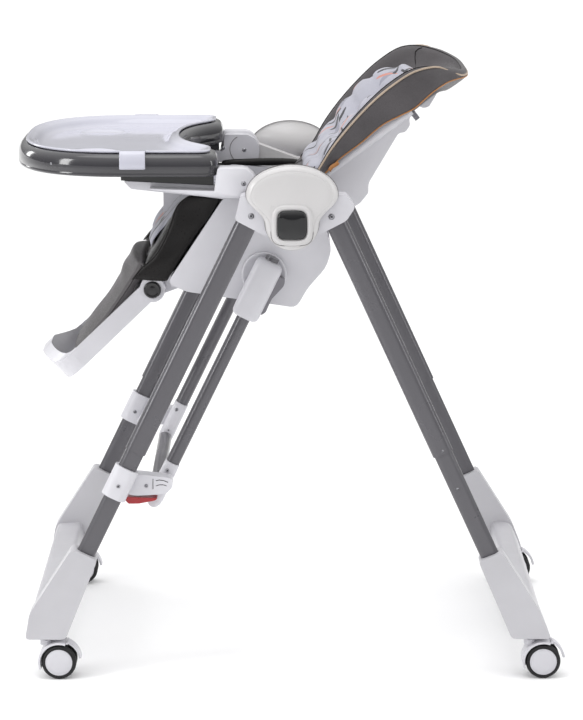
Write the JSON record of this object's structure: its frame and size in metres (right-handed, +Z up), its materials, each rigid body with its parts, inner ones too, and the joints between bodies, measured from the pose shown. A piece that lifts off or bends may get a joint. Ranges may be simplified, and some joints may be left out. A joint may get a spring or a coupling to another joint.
{
  "type": "high chair",
  "caption": "Folding baby high chair with a reclining padded seat, sliding tray, tilting footrest and telescoping A-frame legs on braked casters.",
  "frame": {"origin": "centre of the chair's footprint box, on the floor", "axes": "+X towards the child's left, -Y the way the child faces, +Z up"},
  "size_m": [0.59, 0.8352, 0.918],
  "materials": {
    "white_plastic": "satin moulded white plastic with a faint lavender tint",
    "leg_paint": "satin grey powder coat",
    "dark_leatherette": "near-black brown leatherette, fine grain",
    "grey_leatherette": "dark grey leatherette, fine grain",
    "printed_fabric": null,
    "gloss_black": "glossy black plastic",
    "tray_grey": "glossy dark grey plastic",
    "tray_white": "glossy white plastic",
    "trigger_grey": "matt mid-grey plastic",
    "red_plastic": "red plastic",
    "caster_tyre": "black rubber tyre on a white hub"
  },
  "bodies": {
    "seat": {"seat_tub": "white_plastic", "crotch_post": "white_plastic", "seat_pad": "dark_leatherette", "seat_liner": "printed_fabric", "hub_left": "white_plastic", "hub_right": "white_plastic"},
    "hub_button_left": {"hub_button_left": "gloss_black"},
    "hub_button_right": {"hub_button_right": "gloss_black"},
    "front_upper": {"front_bracket_left": "white_plastic", "front_bracket_right": "white_plastic", "front_upper_tube_left": "leg_paint", "front_upper_tube_right": "leg_paint"},
    "rear_upper": {"rear_bracket_left": "white_plastic", "rear_bracket_right": "white_plastic", "rear_upper_tube_left": "leg_paint", "rear_upper_tube_right": "leg_paint"},
    "front_lower": {"front_feet": "white_plastic", "front_lower_tube_left": "leg_paint", "front_lower_tube_right": "leg_paint", "collar_link_left": "white_plastic", "collar_link_right": "white_plastic"},
    "rear_lower": {"rear_feet": "white_plastic", "rear_lower_tube_left": "leg_paint", "rear_lower_tube_right": "leg_paint"},
    "strut_frame": {"strut_cross_tube": "leg_paint", "strut_tube_left": "leg_paint", "strut_tube_right": "leg_paint", "strut_fitting_left": "white_plastic", "strut_fitting_right": "white_plastic"},
    "strut_housings": {"strut_housing_left": "white_plastic", "strut_housing_right": "white_plastic"},
    "trigger_left": {"strut_trigger_left": "trigger_grey"},
    "trigger_right": {"strut_trigger_right": "trigger_grey"},
    "lock_lever": {"fold_lock_lever": "red_plastic"},
    "backrest": {"back_shell": "white_plastic", "back_cushion": "grey_leatherette", "back_liner": "printed_fabric"},
    "recline_grip": {"recline_handle": "white_plastic"},
    "footrest": {"footrest_panel": "white_plastic", "calf_pad": "grey_leatherette"},
    "footrest_button_left": {"footrest_button_left": "gloss_black"},
    "footrest_button_right": {"footrest_button_right": "gloss_black"},
    "arms": {"arm_left": "white_plastic", "arm_right": "white_plastic"},
    "tray": {"tray_base": "tray_grey", "tray_runner_left": "gloss_black", "tray_runner_right": "gloss_black"},
    "insert": {"tray_insert": "tray_white"},
    "caster_front_left": {"caster_fork_front_left": "white_plastic"},
    "wheels_front_left": {"caster_wheels_front_left": "caster_tyre"},
    "brake_front_left": {"brake_lever_front_left": "white_plastic"},
    "caster_front_right": {"caster_fork_front_right": "white_plastic"},
    "wheels_front_right": {"caster_wheels_front_right": "caster_tyre"},
    "brake_front_right": {"brake_lever_front_right": "white_plastic"},
    "caster_rear_left": {"caster_fork_rear_left": "white_plastic"},
    "wheels_rear_left": {"caster_wheels_rear_left": "caster_tyre"},
    "brake_rear_left": {"brake_lever_rear_left": "white_plastic"},
    "caster_rear_right": {"caster_fork_rear_right": "white_plastic"},
    "wheels_rear_right": {"caster_wheels_rear_right": "caster_tyre"},
    "brake_rear_right": {"brake_lever_rear_right": "white_plastic"}
  },
  "joints": [
    {"name": "front_fold", "type": "hinge", "parent": "seat", "child": "front_upper", "pos_m": [0, 0.0022, 0.7], "axis": [1, 0, 0], "range_deg": [0, 18]},
    {"name": "rear_fold", "type": "hinge", "parent": "seat", "child": "rear_upper", "pos_m": [0, 0.0022, 0.7], "axis": [-1, 0, 0], "range_deg": [0, 18]},
    {"name": "front_height", "type": "slide", "parent": "front_upper", "child": "front_lower", "axis": [0, -0.4368, -0.8996], "range_m": [0, 0.066]},
    {"name": "rear_height", "type": "slide", "parent": "rear_upper", "child": "rear_lower", "axis": [0, 0.4179, -0.9085], "range_m": [0, 0.066]},
    {"name": "strut_swing", "type": "hinge", "parent": "front_lower", "child": "strut_frame", "pos_m": [0, -0.19075, 0.29798], "axis": [1, 0, 0], "range_deg": [0, 5]},
    {"name": "housing_slide", "type": "slide", "parent": "strut_frame", "child": "strut_housings", "axis": [0, 0.4368, 0.8996], "range_m": [0, 0.066]},
    {"name": "trigger_left_squeeze", "type": "slide", "parent": "strut_housings", "child": "trigger_left", "axis": [0, -0.8996, 0.4368], "range_m": [0, 0.003], "stiffness_N_per_m": 300, "springref_m": -0.003},
    {"name": "trigger_right_squeeze", "type": "slide", "parent": "strut_housings", "child": "trigger_right", "axis": [0, -0.8996, 0.4368], "range_m": [0, 0.003], "stiffness_N_per_m": 300, "springref_m": -0.003},
    {"name": "lock_lever_press", "type": "hinge", "parent": "front_lower", "child": "lock_lever", "pos_m": [0, -0.24981, 0.27708], "axis": [1, 0, 0], "range_deg": [0, 5], "stiffness_Nm_per_rad": 0.5, "springref_deg": -8.59},
    {"name": "hub_button_left_press", "type": "slide", "parent": "seat", "child": "hub_button_left", "axis": [-1, 0, 0], "range_m": [0, 0.0045], "stiffness_N_per_m": 400, "springref_m": -0.003},
    {"name": "hub_button_right_press", "type": "slide", "parent": "seat", "child": "hub_button_right", "axis": [1, 0, 0], "range_m": [0, 0.0045], "stiffness_N_per_m": 400, "springref_m": -0.003},
    {"name": "recline", "type": "hinge", "parent": "seat", "child": "backrest", "pos_m": [0, 0.0222, 0.68], "axis": [1, 0, 0], "range_deg": [0, 28]},
    {"name": "recline_squeeze", "type": "slide", "parent": "backrest", "child": "recline_grip", "axis": [0, -0.8018, -0.5976], "range_m": [0, 0.006], "stiffness_N_per_m": 400, "springref_m": -0.004},
    {"name": "footrest_tilt", "type": "hinge", "parent": "seat", "child": "footrest", "pos_m": [0, -0.2102, 0.5748], "axis": [-1, 0, 0], "range_deg": [0, 40]},
    {"name": "footrest_button_left_press", "type": "slide", "parent": "footrest", "child": "footrest_button_left", "axis": [-1, 0, 0], "range_m": [0, 0.003], "stiffness_N_per_m": 300, "springref_m": -0.003},
    {"name": "footrest_button_right_press", "type": "slide", "parent": "footrest", "child": "footrest_button_right", "axis": [1, 0, 0], "range_m": [0, 0.003], "stiffness_N_per_m": 300, "springref_m": -0.003},
    {"name": "arm_lift", "type": "hinge", "parent": "seat", "child": "arms", "pos_m": [0, -0.0708, 0.748], "axis": [-1, 0, 0], "range_deg": [0, 50]},
    {"name": "tray_slide", "type": "slide", "parent": "arms", "child": "tray", "axis": [0, -0.9988, 0.0485], "range_m": [0, 0.07]},
    {"name": "insert_lift", "type": "slide", "parent": "tray", "child": "insert", "axis": [0, 0, 1], "range_m": [0, 0.05]},
    {"name": "caster_front_left_swivel", "type": "hinge", "parent": "front_lower", "child": "caster_front_left", "pos_m": [0.255, -0.3713, 0.06], "axis": [0, 0, 1], "continuous": true},
    {"name": "wheels_front_left_roll", "type": "hinge", "parent": "caster_front_left", "child": "wheels_front_left", "pos_m": [0.255, -0.3513, 0.0265], "axis": [1, 0, 0], "continuous": true},
    {"name": "brake_front_left_press", "type": "hinge", "parent": "caster_front_left", "child": "brake_front_left", "pos_m": [0.255, -0.3391, 0.0561], "axis": [-1, 0, 0], "range_deg": [0, 4]},
    {"name": "caster_front_right_swivel", "type": "hinge", "parent": "front_lower", "child": "caster_front_right", "pos_m": [-0.255, -0.3713, 0.06], "axis": [0, 0, 1], "continuous": true},
    {"name": "wheels_front_right_roll", "type": "hinge", "parent": "caster_front_right", "child": "wheels_front_right", "pos_m": [-0.255, -0.3513, 0.0265], "axis": [1, 0, 0], "continuous": true},
    {"name": "brake_front_right_press", "type": "hinge", "parent": "caster_front_right", "child": "brake_front_right", "pos_m": [-0.255, -0.3391, 0.0561], "axis": [-1, 0, 0], "range_deg": [0, 4]},
    {"name": "caster_rear_left_swivel", "type": "hinge", "parent": "rear_lower", "child": "caster_rear_left", "pos_m": [0.255, 0.3637, 0.06], "axis": [0, 0, 1], "continuous": true},
    {"name": "wheels_rear_left_roll", "type": "hinge", "parent": "caster_rear_left", "child": "wheels_rear_left", "pos_m": [0.255, 0.3837, 0.0265], "axis": [1, 0, 0], "continuous": true},
    {"name": "brake_rear_left_press", "type": "hinge", "parent": "caster_rear_left", "child": "brake_rear_left", "pos_m": [0.255, 0.3959, 0.0561], "axis": [-1, 0, 0], "range_deg": [0, 4]},
    {"name": "caster_rear_right_swivel", "type": "hinge", "parent": "rear_lower", "child": "caster_rear_right", "pos_m": [-0.255, 0.3637, 0.06], "axis": [0, 0, 1], "continuous": true},
    {"name": "wheels_rear_right_roll", "type": "hinge", "parent": "caster_rear_right", "child": "wheels_rear_right", "pos_m": [-0.255, 0.3837, 0.0265], "axis": [1, 0, 0], "continuous": true},
    {"name": "brake_rear_right_press", "type": "hinge", "parent": "caster_rear_right", "child": "brake_rear_right", "pos_m": [-0.255, 0.3959, 0.0561], "axis": [-1, 0, 0], "range_deg": [0, 4]}
  ],
  "couplings": [
    {"joint": "rear_fold", "follows": "front_fold", "ratio": 1},
    {"joint": "strut_swing", "follows": "front_fold", "ratio": 0.277},
    {"joint": "rear_height", "follows": "front_height", "ratio": 0.99},
    {"joint": "housing_slide", "follows": "front_height", "ratio": 1}
  ]
}
